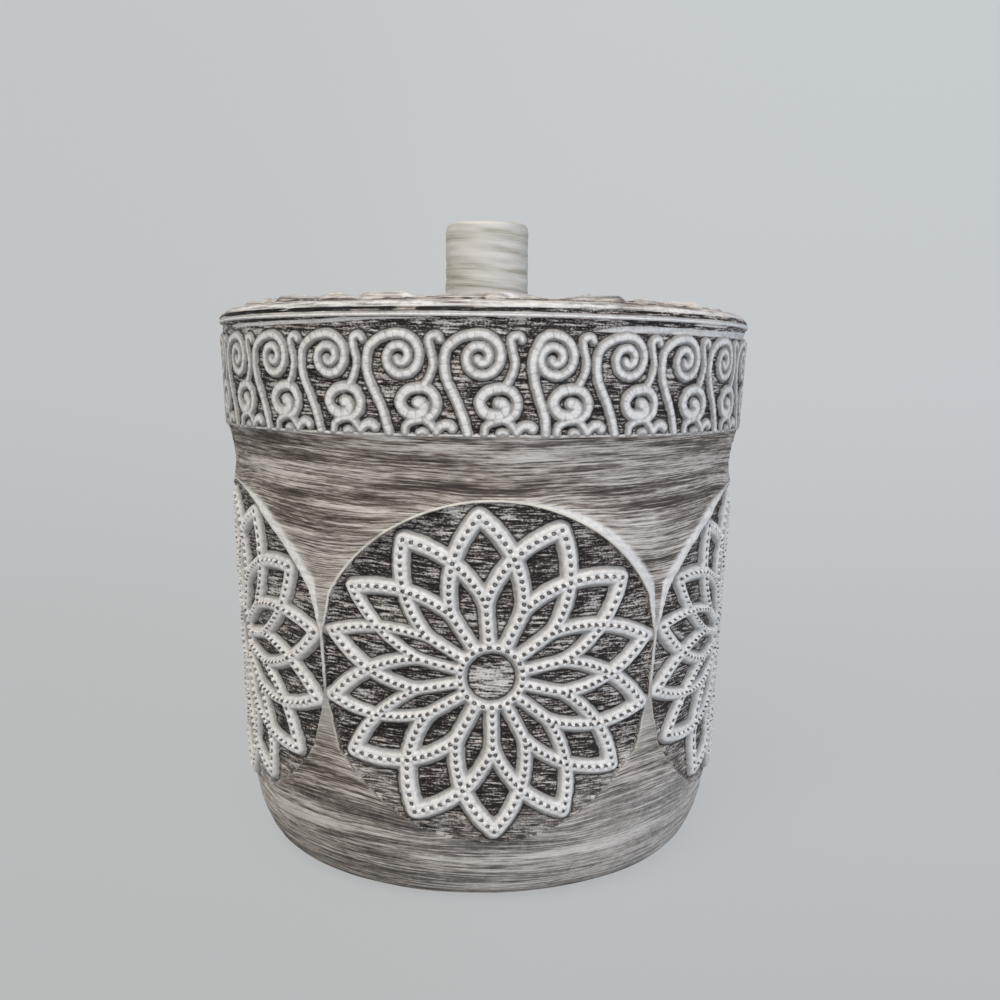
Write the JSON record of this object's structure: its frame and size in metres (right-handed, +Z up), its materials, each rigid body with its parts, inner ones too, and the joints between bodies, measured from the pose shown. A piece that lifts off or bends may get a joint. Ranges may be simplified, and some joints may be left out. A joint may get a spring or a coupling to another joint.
{
  "type": "storage jar",
  "caption": "Round cast-resin storage jar with a banded rim, round flower medallions on its wall and a lift-off lid with a cylindrical knob.",
  "frame": {"origin": "on the floor plane under the middle of the jar, at the underside of the foot pads", "axes": "+Z up along the jar's axis through the knob, -Y towards the front medallion"},
  "size_m": [0.1052, 0.1054, 0.1223],
  "materials": {
    "cast_resin": "cast polyester resin with stone filler, dark wood grain under a rubbed white wash",
    "pale_resin": "cast polyester resin, cream wash with thin grey-brown grain",
    "silicone": "moulded translucent silicone",
    "zinc_steel": "zinc-plated steel",
    "soft_foam": "die-cut closed-cell EVA foam"
  },
  "bodies": {
    "jar": {"jar_body": "cast_resin", "foot_pad_1": "soft_foam", "foot_pad_2": "soft_foam", "foot_pad_3": "soft_foam", "foot_pad_4": "soft_foam"},
    "lid": {"lid": "cast_resin", "lid_seal": "silicone", "lid_knob": "pale_resin", "knob_washer": "zinc_steel", "knob_screw": "zinc_steel"}
  },
  "joints": [
    {"name": "lid_lift", "type": "slide", "parent": "jar", "child": "lid", "axis": [0, 0, 1], "range_m": [0, 0.1]}
  ]
}
